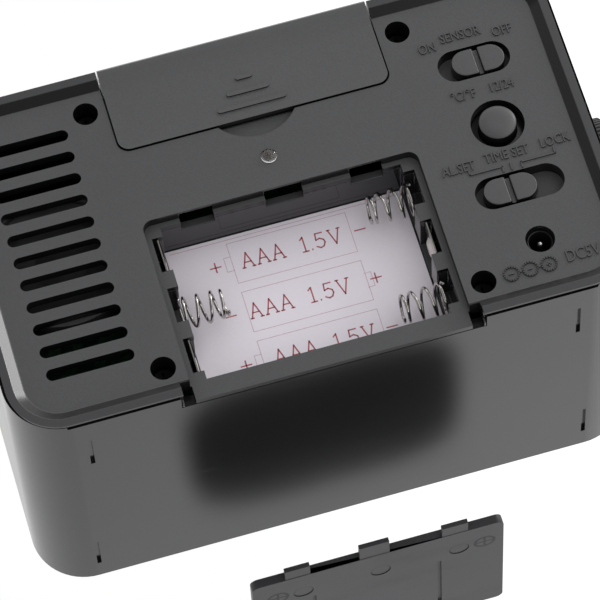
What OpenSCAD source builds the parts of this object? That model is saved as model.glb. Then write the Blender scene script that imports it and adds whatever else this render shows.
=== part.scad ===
// Digital travel alarm clock, standing upright on its base.
// Frame: +Z up, the display looks along -Y, the controls are on the +Y face,
// and the origin is the middle of the base, on the surface the clock stands on.
// All sizes are in millimetres.

/* [Case] */
// Width of the front housing
case_w = 119; // [118.6:0.2:122]
// Height of the front housing
case_h = 70.3; // [70:0.1:71]
// Depth from the front edge to the rear rim
case_d = 65.8; // [63:0.2:68]
// Radius of the four long corners
corner_r = 10.6; // [10:0.1:11.5]
// Wall thickness of the housing
wall = 2; // [1.8:0.1:2.2]

/* [Rear cover] */
// Width of the rear cover
rear_w = 118; // [117.6:0.1:118.2]
// Height of the rear cover
rear_h = 69.8; // [69.4:0.1:69.9]
// How far the rim stands behind the flat panel
rim_rise = 1.3; // [1:0.1:1.5]
// Width of the sloping band between the panel and the rim
band_w = 2; // [1.5:0.05:2.2]
// Width of the flat face of the rim
rim_w = 1.5; // [1.3:0.1:2]
// Thickness of the panel
panel_t = 2.1; // [1.9:0.1:2.3]

/* [Battery bay] */
// Width of the seat that the battery cover fills
seat_w = 52.8; // [52.4:0.1:53.2]
// Height of the top edge of the seat above the base
seat_top = 37.1; // [36.9:0.1:37.5]
// Width of the battery bay between its end walls
bay_w = 46.2; // [45.8:0.2:46.6]
// Distance from one cell's middle to the next
cell_pitch = 10.8; // [10.7:0.05:10.85]
// Height of the middle cell above the base
cell_mid_z = 19.9; // [19.8:0.1:20]
// Wire thickness of the contact springs
spring_wire = 0.7; // [0.6:0.05:0.8]

/* [Speaker slots] */
// Number of slots
slot_count = 11; // [9:1:11]
// Distance from one slot to the next
slot_pitch = 4.77; // [4.6:0.01:4.8]
// Length of a slot
slot_l = 16.5; // [14:0.1:16.6]
// Height of a slot
slot_t = 2.4; // [2:0.1:2.6]

/* [Controls] */
// Sideways distance of the controls from the middle
control_x = -42.5; // [-43:0.1:-42]
// Height of the two-position slider above the base
light_z = 52.1; // [51.7:0.1:52.5]
// Height of the round button above the base
button_z = 38; // [37.7:0.1:38.3]
// Height of the three-position slider above the base
set_z = 24.1; // [23.8:0.1:24.5]
// Diameter of the round button
button_d = 7.1; // [6.6:0.1:7.4]
// Diameter of the side dial
dial_d = 21.5; // [20:0.5:23]
// How far the side dial stands out of the housing
dial_out = 7; // [5:0.5:8]

/* [Loose battery cover] */
// Sideways place of the loose cover
cover_x = -6.6; // [-8:0.2:8]
// Distance of its tab edge in front of the middle of the clock
cover_y = -59.3; // [-70:0.1:-56]

/* [Hidden] */
$fn = 48;
hull_fn = 32;
eps = 0.01;
fit_gap = 0.3;              // gap between pieces that move past each other
rear_y = case_d / 2;        // rear face of the rim
front_y = -case_d / 2;      // front edge of the housing
panel_y = rear_y - rim_rise;        // face of the flat rear panel
panel_in_y = panel_y - panel_t;     // inner face of the panel
lip_y = panel_y + 0.6;      // rear end of the housing wall
rear_z = rear_h / 2 + 0.1;  // middle height of the rear cover
flange_t = 0.55;            // thickness of the rim where it overhangs the base
groove_t = 0.8;             // rise of the groove under the overhanging rim
mid_z = case_h / 2;
inner_w = case_w - 2 * wall;
inner_h = case_h - 2 * wall;
inner_r = corner_r - wall;
rear_r = 9.8;

seat_y = panel_y - 2.1;     // floor of the seat for the battery cover
ledge_t = 1.2;
bay_low = 3.7;
bay_top = 36.1;
bay_floor_y = seat_y - 9.7;
pocket_x = 24.4;            // depth of the contact pockets
tab_x = [16, -0.7, -16.6];  // tab slots along the seat's top edge
tab_w = [5.4, 6.2, 5.2];
cell_z = [cell_mid_z + cell_pitch, cell_mid_z, cell_mid_z - cell_pitch];
cell_y = seat_y - 4.4;      // axis of the cells

screw_x = 30.3;
screw_z = [7, 62.4];
screw_hole_r = 2.35;
boss_r = 3.3;
boss_in_y = panel_y - 8.2;             // inner end of the screw bosses

hatch_w = 52.8;
hatch_low = 52.3;           // bottom edge of the hatch opening
hinge_y = panel_y - 7.6;
hinge_r = 1.9;
hinge_z = case_h - hinge_r;
hinge_pin_r = 0.75;
lug_half = 13.5;            // half width of the middle hinge lug

slot_x = 42.75;
slot_top_z = 59.2;

light_slot_l = 13.9;
light_slot_x = control_x + 0.3;
set_slot_l = 17;
slot_h = 6.7;
knob_l = 10.2;
knob_h = 5.5;
light_knob_x = control_x - 0.5;     // rests at the far end of its slot
set_knob_x = control_x + 1.8;       // rests at the near end of its slot
light_travel = 2;
set_travel = 4.4;
well_floor_y = panel_y - 3;
well_t = 1.2;
stem_w = 1.2;

dial_z = 38.7;
dial_y = 0;
shaft_r = 2;
shaft_clear = 0.06;

jack_x = -42.8;
jack_z = 12.5;
jack_r = 2.45;

lens_z = 43.8;              // height of the sensor's lens

bar_l = 60;
bar_w = 14;
bar_y = -6;

board_y = front_y + 13.5;
switch_board_y = panel_y - 11.7;      // rear face of the control board

// ---------- shapes that repeat ----------

// A flat outline in X and Z given thickness from y0 to y1
module slab(y0, y1) {
    translate([0, y1, 0]) rotate([90, 0, 0]) linear_extrude(y1 - y0) children();
}

// A flat outline in Y and Z given length from x0 to x1
module along_x(x0, x1) {
    translate([x0, 0, 0]) rotate([90, 0, 90]) linear_extrude(x1 - x0) children();
}

module rounded(w, h, r, fn = 48) {
    square([w - 2 * r, h], center = true);
    square([w, h - 2 * r], center = true);
    for (x = [-1, 1], z = [-1, 1])
        translate([x * (w / 2 - r), z * (h / 2 - r)]) circle(r, $fn = fn);
}

module stadium(l, h) {
    square([l - h, h], center = true);
    for (x = [-1, 1]) translate([x * (l - h) / 2, 0]) circle(h / 2);
}

// A cylinder along Y from y0 to y1
module rod_y(r, y0, y1) {
    translate([0, y1, 0]) rotate([90, 0, 0]) cylinder(r = r, h = y1 - y0);
}

// A cylinder along X from x0 to x1
module rod_x(r, x0, x1) {
    translate([x0, 0, 0]) rotate([0, 90, 0]) cylinder(r = r, h = x1 - x0);
}

// A box given by its low and high corners
module block(low, high) {
    translate(low) cube(high - low);
}

module at_screws() {
    for (x = [-1, 1], z = screw_z) translate([x * screw_x, 0, z]) children();
}

// ---------- front housing and display ----------

window_w = 108;
window_h = 58;
view_w = 98;
view_h = 48;
window_t = 1.4;
front_t = 2.6;

module front_housing() color([0.06, 0.06, 0.065]) difference() {
    union() {
        difference() {
            slab(front_y, lip_y) translate([0, mid_z]) rounded(case_w, case_h, corner_r);
            slab(front_y + front_t, lip_y + 1)
                translate([0, mid_z]) rounded(inner_w, inner_h, inner_r);
            slab(panel_in_y - 0.6, lip_y + 1) translate([0, rear_z + groove_t / 2])
                rounded(rear_w + 0.8, rear_h - groove_t + 0.8, rear_r + 0.4);
        }
        at_screws() rod_y(boss_r - 0.3, front_y + front_t - 0.5, boss_in_y - 0.1);
        translate([0, hinge_y, hinge_z]) rod_x(hinge_r, -lug_half, lug_half);
        block([-lug_half, hinge_y - 4.2, case_h - 3.4], [lug_half, hinge_y, case_h - 0.6]);
        // Bearing for the shaft of the side dial
        translate([0, dial_y, dial_z]) rod_x(4, -inner_w / 2 - 0.5, -inner_w / 2 + 3);
    }
    // Window opening with a seat for the lens
    slab(front_y - 1, front_y + front_t + 1) translate([0, mid_z]) rounded(view_w, view_h, 3);
    slab(front_y - 1, front_y + window_t)
        translate([0, mid_z]) rounded(window_w, window_h, 6);
    at_screws() rod_y(1.15, 7, boss_in_y + 1);
    // Opening for the snooze bar
    translate([0, bar_y, mid_z]) linear_extrude(mid_z + 1) rounded(bar_l + 0.7, bar_w + 0.7, 3.3);
    // Room for the hatch in the roof
    block([-hatch_w / 2, hinge_y - hinge_r - fit_gap, case_h - 5], [-lug_half, rear_y + 1, case_h + 1]);
    block([lug_half, hinge_y - hinge_r - fit_gap, case_h - 5], [hatch_w / 2, rear_y + 1, case_h + 1]);
    difference() {
        block([-lug_half - eps, hinge_y - hinge_r - 0.5, case_h - 5], [lug_half + eps, rear_y + 1, case_h + 1]);
        translate([0, hinge_y, hinge_z]) rod_x(hinge_r, -lug_half - 1, lug_half + 1);
        block([-lug_half - 1, hinge_y - 5, case_h - 6], [lug_half + 1, hinge_y, hinge_z]);
    }
    translate([0, hinge_y, hinge_z]) rod_x(hinge_pin_r, -lug_half - 1, lug_half + 1);
    // Room for the foot of the battery seat
    block([-28.8, seat_y - ledge_t - 0.3, -1], [28.8, rear_y, 4]);
    // Bore for the dial's shaft and the shallow ring the dial turns in
    translate([0, dial_y, dial_z]) {
        rod_x(shaft_r + shaft_clear, -case_w / 2 - 1, -inner_w / 2 + 4);
        rod_x(dial_d / 2 + 0.6, -case_w / 2 - 1, -case_w / 2 + 0.8);
    }
    // Four narrow slits in the base
    for (x = [-46.4, 46.4]) block([x - 0.4, 15.5, -1], [x + 0.4, 24.9, 0.8]);
    for (x = [-48.4, 48.4]) block([x - 0.4, -27.5, -1], [x + 0.4, -18.1, 0.8]);
    // Groove between the base and the overhanging rim of the rear cover
    block([-50, rear_y - 1.45, -1], [50, lip_y + 1, 0.7]);
}

module display_window() color([0.03, 0.03, 0.035, 0.9])
    slab(front_y + 0.1, front_y + window_t - 0.05)
        translate([0, mid_z]) rounded(window_w - 0.4, window_h - 0.4, 5.8);

module window_mask() color("black") difference() {
    slab(front_y + window_t + 0.02, front_y + window_t + 0.22)
        translate([0, mid_z]) rounded(view_w - 0.6, view_h - 0.6, 2.7);
    slab(front_y, front_y + 4) translate([0, mid_z]) rounded(88, 38, 1.5);
}

module display_glass() color([0.55, 0.6, 0.55])
    block([-46, front_y + 3, mid_z - 21], [46, front_y + 5.2, mid_z + 21]);

module light_guide() color([0.85, 0.88, 0.92])
    block([-45, front_y + 5.4, mid_z - 20], [45, front_y + 7.6, mid_z + 20]);

module display_holder() color([0.85, 0.85, 0.83]) difference() {
    block([-49, front_y + 2.8, mid_z - 24], [49, front_y + 9, mid_z + 24]);
    block([-46.2, front_y + 2, mid_z - 21.2], [46.2, front_y + 7.8, mid_z + 21.2]);
    block([-40, front_y + 7, mid_z - 17], [40, front_y + 10, mid_z + 17]);
}

// Soft strip that carries the signals from the glass to the board
module display_connector() color([0.9, 0.55, 0.5])
    block([-38, front_y + 9.2, mid_z + 15], [38, board_y - 1.7, mid_z + 17.5]);

module main_board() color([0.07, 0.3, 0.14]) difference() {
    block([-50, board_y - 1.6, 13], [50, board_y, 57]);
    for (x = [-46, 46], z = [16, 53]) translate([x, 0, z]) rod_y(1.3, board_y - 3, board_y + 1);
}

module clock_chip() color([0.03, 0.03, 0.03])
    translate([6, board_y, 36]) rotate([-90, 0, 0]) cylinder(r1 = 6, r2 = 4.4, h = 1.5);

module board_screws() color([0.75, 0.75, 0.78])
    for (x = [-46, 46], z = [16, 53]) translate([x, 0, z]) {
        rod_y(1.2, board_y - 4.4, board_y + 0.02);
        rod_y(2.3, board_y + 0.02, board_y + 1.3);
    }

// ---------- rear cover ----------

module rear_outline() translate([0, rear_z]) rounded(rear_w, rear_h, rear_r);

module rear_inset(d) {
    translate([0, rear_z]) rounded(rear_w - 2 * d, rear_h - 2 * d, rear_r - d, hull_fn);
}

// The hollow of the panel, with its sloping band
module panel_hollow() hull() {
    slab(panel_y, panel_y + eps) rear_inset(rim_w + band_w);
    slab(rear_y, rear_y + eps) rear_inset(rim_w);
}

module seat_outline() translate([0, seat_top / 2 - 5]) rounded(seat_w, seat_top + 10, 2);

module ledge_outline() difference() {
    translate([0, (seat_top + 2.2) / 2]) square([57.2, seat_top + 2.2], center = true);
    translate([0, (bay_low + bay_top) / 2]) square([bay_w, bay_top - bay_low], center = true);
    pockets();
}

// Places where the contacts stand beside the bay
module pockets() for (i = [0:2], s = [-1, 1])
    translate([s * (bay_w / 2 + 0.5), cell_z[i]]) square([2 * (pocket_x - bay_w / 2) + 0.6, 7.2], center = true);

module slider_well(x, z, l) translate([x, 0, z]) slab(well_floor_y - well_t, panel_in_y)
    stadium(l + 2.4, slot_h + 2.4);

module slider_cut(x, z, l, stem_x, travel) translate([x, 0, z]) {
    slab(well_floor_y, rear_y) stadium(l, slot_h);
    slab(well_floor_y - well_t - 1, rear_y)
        translate([stem_x - x, 0]) stadium(travel + stem_w + 0.6, stem_w + 0.8);
}

module hatch_cut() {
    slab(panel_y - 1.7, rear_y + 5) translate([0, hatch_low + 15])
        rounded(hatch_w, 30, 2.4);
    block([-hatch_w / 2, hinge_y - 3, case_h - 5.2], [hatch_w / 2, rear_y + 5, case_h + 5]);
    slab(panel_y - 5.5, rear_y) translate([0, hatch_low + 6.9]) rounded(49.6, 11, 1.4);
}

// Shallow scoop below the hatch for a fingernail
module scoop() {
    scoop_half = 7.4;
    scoop_drop = 3.8;
    r = (scoop_half * scoop_half + scoop_drop * scoop_drop) / (2 * scoop_drop);
    slab(panel_y - 1.3, rear_y) intersection() {
        translate([0, hatch_low - scoop_drop + r]) circle(r);
        translate([0, hatch_low - scoop_drop / 2 + 0.1])
            square([2 * scoop_half, scoop_drop + 0.2], center = true);
    }
}

module rear_cover() color([0.1, 0.1, 0.105]) difference() {
    union() {
        difference() {
            union() {
                slab(panel_in_y, rear_y) translate([0, rear_z + groove_t / 2])
                    rounded(rear_w, rear_h - groove_t, rear_r);
                slab(rear_y - flange_t, rear_y) rear_outline();
            }
            panel_hollow();
        }
        slab(seat_y - ledge_t, panel_in_y + eps) ledge_outline();
        at_screws() rod_y(boss_r, boss_in_y, panel_in_y + 0.5);
        slider_well(light_slot_x, light_z, light_slot_l);
        slider_well(control_x, set_z, set_slot_l);
        slab(panel_y - 6.7, panel_in_y + 0.2) translate([0, hatch_low + 6.7]) square([52.4, 13.6], center = true);
        translate([jack_x, 0, jack_z]) rod_y(4.2, panel_in_y - 1.4, panel_in_y + 0.5);
    }
    slab(seat_y, rear_y + 1) seat_outline();
    // Openings beside the foot of the seat for the cover's catches
    for (x = [-27.2, 27.2]) block([x - 1.1, seat_y - ledge_t - 1, -1], [x + 1.1, rear_y + 1, 3]);
    for (i = [0:2]) block([tab_x[i] - tab_w[i] / 2 - 0.5, seat_y - ledge_t - 1, bay_top - 0.6],
        [tab_x[i] + tab_w[i] / 2 + 0.5, seat_y + 1.5, seat_top + 3]);
    at_screws() {
        rod_y(screw_hole_r, boss_in_y + 2, rear_y + 1);
        rod_y(1.35, boss_in_y - 1, boss_in_y + 3);
    }
    for (i = [0:slot_count - 1]) translate([slot_x, 0, slot_top_z - i * slot_pitch])
        slab(panel_in_y - 1, panel_y + 1) stadium(slot_l, slot_t);
    slider_cut(light_slot_x, light_z, light_slot_l, light_knob_x + light_travel / 2, light_travel);
    slider_cut(control_x, set_z, set_slot_l, set_knob_x - set_travel / 2, set_travel);
    translate([control_x, 0, button_z]) rod_y(5.05, panel_in_y - 1, panel_y + 1);
    translate([jack_x, 0, jack_z]) {
        rod_y(jack_r, panel_in_y - 3, rear_y);
        translate([0, panel_y - 0.6, 0]) rotate([-90, 0, 0]) cylinder(r1 = jack_r, r2 = 2.75, h = 0.61);
    }
    translate([0, 0, lens_z]) rod_y(1.55, panel_in_y - 1, panel_y + 1);
    hatch_cut();
    scoop();
}

// ---------- speaker behind the slots ----------

speaker_z = slot_top_z - 5 * slot_pitch;

module speaker_frame() color([0.2, 0.2, 0.2]) translate([slot_x, 0, speaker_z]) difference() {
    rod_y(14, panel_in_y - 6.2, panel_in_y - 0.1);
    rod_y(12.8, panel_in_y - 5, panel_in_y + 1);
    rod_y(6.2, panel_in_y - 7, panel_in_y);
}

module speaker_cone() color([0.12, 0.12, 0.12]) translate([slot_x, panel_in_y - 1.2, speaker_z])
    rotate([90, 0, 0]) rotate_extrude() polygon([[0, 2.4], [5, 2.4], [12.6, 0], [12.6, 0.5], [5, 2.9], [0, 2.9]]);

module speaker_magnet() color([0.6, 0.6, 0.62]) translate([slot_x, 0, speaker_z])
    rod_y(6, panel_in_y - 8, panel_in_y - 4.6);

// ---------- battery bay ----------

tray_y = seat_y - ledge_t - 0.05;

module battery_tray() color([0.08, 0.08, 0.085]) difference() {
    block([-26, bay_floor_y - 1.4, 2.3], [26, tray_y, seat_top + 0.6]);
    block([-bay_w / 2, bay_floor_y, bay_low], [bay_w / 2, tray_y + 1, bay_top]);
    slab(bay_floor_y + 0.6, tray_y + 1) pockets();
    // Room behind the seat's tab slots
    for (i = [0:2]) block([tab_x[i] - tab_w[i] / 2 - 0.5, tray_y - 1.4, bay_top - 1],
        [tab_x[i] + tab_w[i] / 2 + 0.5, tray_y + 1, seat_top + 1]);
}

module battery_label() color([0.86, 0.82, 0.87])
    block([-22.9, bay_floor_y, bay_low + 0.2], [22.9, bay_floor_y + 0.15, bay_top - 0.2]);

spring_steps = 14;          // points in one turn of a spring
spring_sides = 6;
spring_turns = 5;

// Point k of a spring: its turns tighten from the base r0 to the tip r1
function coil_point(k, r0, r1, length, n) =
    let (t = k / n, a = 360 * spring_turns * t, r = r0 + (r1 - r0) * t,
        x = length * (t < 0.12 ? 0.35 * t : t > 0.88 ? 1 - 0.35 * (1 - t) : 0.042 + 0.916 * (t - 0.12) / 0.76))
    [x, r * cos(a), r * sin(a)];

// A conical spring along +X, swept as a tube of six sides
module coil_spring(r0, r1, length) {
    n = spring_turns * spring_steps;
    w = spring_wire / 2;
    rings = [for (k = [0:n]) let (p = coil_point(k, r0, r1, length, n), a = 360 * spring_turns * k / n)
        for (j = [0:spring_sides - 1]) let (b = 360 * j / spring_sides)
            p + w * [sin(b), cos(b) * cos(a), cos(b) * sin(a)]];
    sides = [for (k = [0:n - 1], j = [0:spring_sides - 1]) let (a = k * spring_sides + j,
        b = k * spring_sides + (j + 1) % spring_sides) [a, b, b + spring_sides, a + spring_sides]];
    caps = [[for (j = [spring_sides - 1:-1:0]) j], [for (j = [0:spring_sides - 1]) n * spring_sides + j]];
    polyhedron(rings, concat(sides, caps));
}

module contact_spring(i, side) color([0.8, 0.78, 0.75])
    translate([side * (pocket_x - 0.65), cell_y, cell_z[i]]) mirror([side > 0 ? 1 : 0, 0, 0])
        coil_spring(3.1, 2.5, 8.6);

module spring_top() contact_spring(0, -1);
module spring_middle() contact_spring(1, 1);
module spring_bottom() contact_spring(2, -1);

// Flat contact with a raised dimple, standing in its pocket
module flat_contact(i, side) color([0.8, 0.78, 0.75])
    translate([side * (pocket_x - 0.15), cell_y, cell_z[i]]) mirror([side > 0 ? 1 : 0, 0, 0]) {
        block([-0.1, -4.6, -3.3], [0.2, 4, 3.3]);
        translate([0.2, 0, 0]) rotate([0, 90, 0]) cylinder(r1 = 2, r2 = 1.4, h = 0.5);
    }

module contact_top() flat_contact(0, 1);
module contact_middle() flat_contact(1, -1);
module contact_bottom() flat_contact(2, 1);

// ---------- fasteners, switches and socket ----------

module case_screws() color([0.3, 0.3, 0.32]) at_screws() difference() {
    union() {
        rod_y(2, boss_in_y + 2.05, boss_in_y + 3.6);
        rod_y(1.1, 11, boss_in_y + 2.1);
    }
    for (a = [0, 90]) rotate([0, a, 0]) block([-1.3, boss_in_y + 2.7, -0.25], [1.3, boss_in_y + 4, 0.25]);
}

module control_board() color([0.07, 0.3, 0.14])
    block([control_x - 12, switch_board_y - 1.6, 17.8], [control_x + 9, switch_board_y, 58]);

module slide_switch(x, z, l, travel) color([0.7, 0.7, 0.72]) translate([x, 0, z]) difference() {
    block([-l / 2, switch_board_y + 0.02, -2.8], [l / 2, switch_board_y + 4.2, 2.8]);
    block([-travel / 2 - stem_w / 2 - 0.5, switch_board_y + 1.6, -1.6],
        [travel / 2 + stem_w / 2 + 0.5, switch_board_y + 5, 1.6]);
}

module light_switch() slide_switch(light_knob_x + light_travel / 2, light_z, 9, light_travel);
module set_switch() slide_switch(set_knob_x - set_travel / 2, set_z, 12, set_travel);

module tact_switch() {
    block([-3, -3, 0], [3, 3, 2.6]);
    cylinder(r = 1.7, h = 3.6);
}

module mode_switch() color([0.25, 0.25, 0.26])
    translate([control_x, switch_board_y + 0.02, button_z]) rotate([-90, 0, 0]) tact_switch();

module power_socket() color([0.05, 0.05, 0.05]) translate([jack_x, 0, jack_z]) difference() {
    union() {
        block([-4.6, 16.4, -4.6], [4.6, panel_in_y - 1.5, 4.6]);
        rod_y(jack_r - 0.05, panel_in_y - 1.6, panel_y - 1.2);
    }
    rod_y(2.15, 18.4, rear_y);
}

module socket_pin() color([0.85, 0.85, 0.82]) translate([jack_x, 0, jack_z]) {
    rod_y(0.55, 18.4, panel_y - 2.1);
    translate([0, panel_y - 2.1, 0]) sphere(0.55);
}

module sensor_lens() color([0.85, 0.85, 0.88]) translate([0, 0, lens_z]) {
    rod_y(1.5, panel_in_y - 0.4, panel_y);
    translate([0, panel_y, 0]) rotate([-90, 0, 0]) rotate_extrude()
        intersection() {
            translate([0, -0.9]) circle(1.75);
            square([1.5, 2]);
        }
}

module light_sensor() color([0.2, 0.15, 0.1])
    block([-2, panel_in_y - 1.7, lens_z - 2], [2, panel_in_y - 0.42, lens_z + 2]);

module key_board() color([0.07, 0.3, 0.14])
    block([-14, bar_y - 6, case_h - 12.2], [14, bar_y + 6, case_h - 10.6]);

module snooze_switch() color([0.25, 0.25, 0.26])
    translate([0, bar_y, case_h - 10.58]) tact_switch();

module dial_encoder() color([0.25, 0.25, 0.27]) translate([0, dial_y, dial_z]) difference() {
    block([-inner_w / 2 + 3.3, -6, -6], [-inner_w / 2 + 9.3, 6, 6]);
    rod_x(shaft_r + shaft_clear, -inner_w / 2 + 2, -inner_w / 2 + 8.3);
}

// ---------- moving pieces ----------

module hinge_pin() color([0.7, 0.7, 0.72])
    translate([0, hinge_y, hinge_z]) rod_x(hinge_pin_r - 0.01, -25, 25);

module rear_hatch() color([0.1, 0.1, 0.105]) difference() {
    half = hatch_w / 2 - fit_gap;
    face_y = panel_y + 0.3;
    union() {
        intersection() {
            along_x(-half, half) polygon([[hinge_y, case_h], [rear_y - 0.5, case_h],
                [rear_y, case_h - 0.5], [rear_y, rear_z + rear_h / 2 - rim_w],
                [face_y, rear_z + rear_h / 2 - rim_w - band_w], [face_y, hatch_low + fit_gap],
                [face_y - 1.7, hatch_low + fit_gap], [face_y - 1.7, case_h - 3.7],
                [rear_y - 2.6, case_h - 1.6], [hinge_y, case_h - 1.6]]);
            slab(0, rear_y + 5) translate([0, hatch_low + fit_gap + 15]) rounded(2 * half, 30, 2.2);
        }
        translate([0, hinge_y, hinge_z]) rod_x(hinge_r, -half, half);
        for (i = [0:2]) translate([0, 0, hatch_low + 9 - 3 * i])
            slab(face_y, face_y + 0.35) stadium(3.2 + 5 * i, 0.9);
    }
    translate([0, hinge_y, hinge_z]) {
        rod_x(hinge_pin_r + 0.05, -half - 1, half + 1);
        rod_x(hinge_r + fit_gap, -lug_half - fit_gap, lug_half + fit_gap);
    }
}

// A slider's knob, grooved across the middle, with the stem that moves the switch
module slider(x, z) color([0.12, 0.12, 0.125]) translate([x, 0, z]) difference() {
    union() {
        slab(well_floor_y + 0.3, panel_y + 0.25) stadium(knob_l, knob_h);
        block([-stem_w / 2, switch_board_y + 2, -stem_w / 2 + 0.1],
            [stem_w / 2, well_floor_y + 0.4, stem_w / 2 - 0.1]);
    }
    block([-0.47, panel_y - 0.6, -5], [0.47, rear_y, 5]);
}

module light_slider() slider(light_knob_x, light_z);
module set_slider() slider(set_knob_x, set_z);

module mode_button() color([0.12, 0.12, 0.125]) translate([control_x, 0, button_z]) {
    crown = 0.7;
    r = button_d / 2;
    ball = (r * r + crown * crown) / (2 * crown);
    rod_y(r, switch_board_y + 4.7, panel_y + 0.4);
    rod_y(5.7, panel_in_y - 1.6, panel_in_y - 0.5);
    translate([0, panel_y + 0.4, 0]) rotate([-90, 0, 0]) rotate_extrude() intersection() {
        translate([0, crown - ball]) circle(ball, $fn = 96);
        square([r, crown + 1]);
    }
}

module snooze_bar() color([0.14, 0.14, 0.145]) translate([0, bar_y, 0]) {
    translate([0, 0, case_h - 3.4]) linear_extrude(5) rounded(bar_l, bar_w, 3);
    translate([0, 0, case_h - 3.4]) linear_extrude(1.3) rounded(bar_l + 4, bar_w + 4, 4);
    translate([0, 0, case_h - 5.7]) cylinder(r = 2.5, h = 2.4);
}

module side_dial() color([0.1, 0.1, 0.105]) translate([0, dial_y, dial_z]) {
    outer_x = -case_w / 2 - dial_out;
    grooves = 26;
    difference() {
        rod_x(dial_d / 2, outer_x, -case_w / 2 + 0.5);
        for (i = [0:grooves - 1]) rotate([i * 360 / grooves, 0, 0]) translate([0, dial_d / 2 + 0.15, 0])
            rod_x(0.6, outer_x - 1, -case_w / 2 - 0.8);
        rod_x(dial_d / 2 - 3.5, outer_x - 1, outer_x + 0.8);
    }
    rod_x(shaft_r, -case_w / 2 + 0.4, -inner_w / 2 + 8);
}

// The battery cover lies on the surface in front of the display, inside face down
module battery_cover() color([0.16, 0.16, 0.165]) translate([cover_x, cover_y, 0]) {
    cover_w = seat_w - 0.6;
    cover_l = seat_top - 0.5;
    t = 1.9;
    difference() {
        translate([0, -cover_l / 2, 0]) linear_extrude(t) rounded(cover_w, cover_l, 1.6);
        for (x = [-16.8, -0.4, 15.7]) translate([x, -7.6, -1]) cylinder(r = 2, h = 1.12);
        for (x = [-12.6, 13.6]) block([x - 0.4, -cover_l + 6, -1], [x + 0.4, -11, 0.4]);
    }
    for (i = [0:2]) block([-tab_x[i] - tab_w[i] / 2, -1, 0.1], [-tab_x[i] + tab_w[i] / 2, i == 1 ? 5 : 3.6, 1.1]);
}

front_housing();
display_window();
window_mask();
display_glass();
light_guide();
display_holder();
display_connector();
main_board();
clock_chip();
rear_cover();
speaker_frame();
speaker_cone();
speaker_magnet();
battery_tray();
battery_label();
spring_top();
spring_middle();
spring_bottom();
contact_top();
contact_middle();
contact_bottom();
case_screws();
board_screws();
control_board();
light_switch();
set_switch();
mode_switch();
power_socket();
socket_pin();
sensor_lens();
light_sensor();
key_board();
snooze_switch();
dial_encoder();
hinge_pin();
rear_hatch();
light_slider();
set_slider();
mode_button();
snooze_bar();
side_dial();
battery_cover();
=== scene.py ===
"""Looks of the upright desk alarm clock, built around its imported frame.

Each sub-assembly of the clock is a class that holds its sizes, builds its meshes and dresses them.
Everything is in metres: +Z is up, the display looks along -Y and the rear cover faces +Y.
"""

import logging
import math
from dataclasses import dataclass
from enum import Enum
from typing import Any, Iterable, Optional, Sequence, Union

import bmesh
import bpy
import numpy as np
from mathutils import Matrix, Vector


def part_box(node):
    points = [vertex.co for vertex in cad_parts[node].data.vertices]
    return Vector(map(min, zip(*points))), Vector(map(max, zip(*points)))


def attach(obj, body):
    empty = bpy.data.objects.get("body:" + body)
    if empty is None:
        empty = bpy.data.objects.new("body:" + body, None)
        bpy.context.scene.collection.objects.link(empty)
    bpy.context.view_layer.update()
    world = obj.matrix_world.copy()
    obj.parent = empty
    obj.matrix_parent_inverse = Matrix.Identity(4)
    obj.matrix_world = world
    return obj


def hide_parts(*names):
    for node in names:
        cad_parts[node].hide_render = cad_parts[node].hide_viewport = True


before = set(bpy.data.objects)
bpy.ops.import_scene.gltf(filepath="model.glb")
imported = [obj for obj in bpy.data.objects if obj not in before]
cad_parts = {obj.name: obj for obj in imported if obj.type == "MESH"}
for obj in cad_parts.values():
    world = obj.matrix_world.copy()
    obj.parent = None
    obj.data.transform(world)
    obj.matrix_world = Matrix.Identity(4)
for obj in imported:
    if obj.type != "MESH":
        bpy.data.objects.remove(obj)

LOG = logging.getLogger("clock")
MM = 0.001
PANEL_RISE = 1.3 * MM      # how far the rear cover's rim stands above its panel
PANEL_THICK = 2.1 * MM
TO_MM = (1000.0, 1000.0, 1000.0)
Array = np.ndarray
Colour = tuple[float, float, float]
Point = tuple[float, float, float]
Bar = tuple[float, float, float, float]
Profile = list[tuple[float, float]]


# ---------------------------------------------------------------- shader language


class Wire:
    """A shader socket that takes part in arithmetic by adding Math nodes."""

    def __init__(self, recipe: "Recipe", socket: bpy.types.NodeSocket) -> None:
        """Wraps one output socket of the material being written."""
        self.recipe = recipe
        self.socket = socket

    def _sum(self, operation: str, first: "Value", second: "Value") -> "Wire":
        """Adds one Math node with two operands."""
        return self.recipe.node("ShaderNodeMath", {"operation": operation}, {0: first, 1: second})

    def __add__(self, other: "Value") -> "Wire":
        """self + other."""
        return self._sum("ADD", self, other)

    __radd__ = __add__

    def __sub__(self, other: "Value") -> "Wire":
        """self - other."""
        return self._sum("SUBTRACT", self, other)

    def __rsub__(self, other: "Value") -> "Wire":
        """other - self."""
        return self._sum("SUBTRACT", other, self)

    def __mul__(self, other: "Value") -> "Wire":
        """self * other."""
        return self._sum("MULTIPLY", self, other)

    __rmul__ = __mul__

    def __pow__(self, other: "Value") -> "Wire":
        """self ** other."""
        return self._sum("POWER", self, other)

    def at_least(self, other: "Value") -> "Wire":
        """The larger of the two."""
        return self._sum("MAXIMUM", self, other)

    def fade(self, low: float, high: float) -> "Wire":
        """A smooth step from 0 at low to 1 at high."""
        return self.recipe.node("ShaderNodeMapRange", {"interpolation_type": "SMOOTHSTEP"},
                                {0: self, 1: low, 2: high, 3: 0.0, 4: 1.0})


Value = Union[Wire, float, Sequence[float]]


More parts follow.
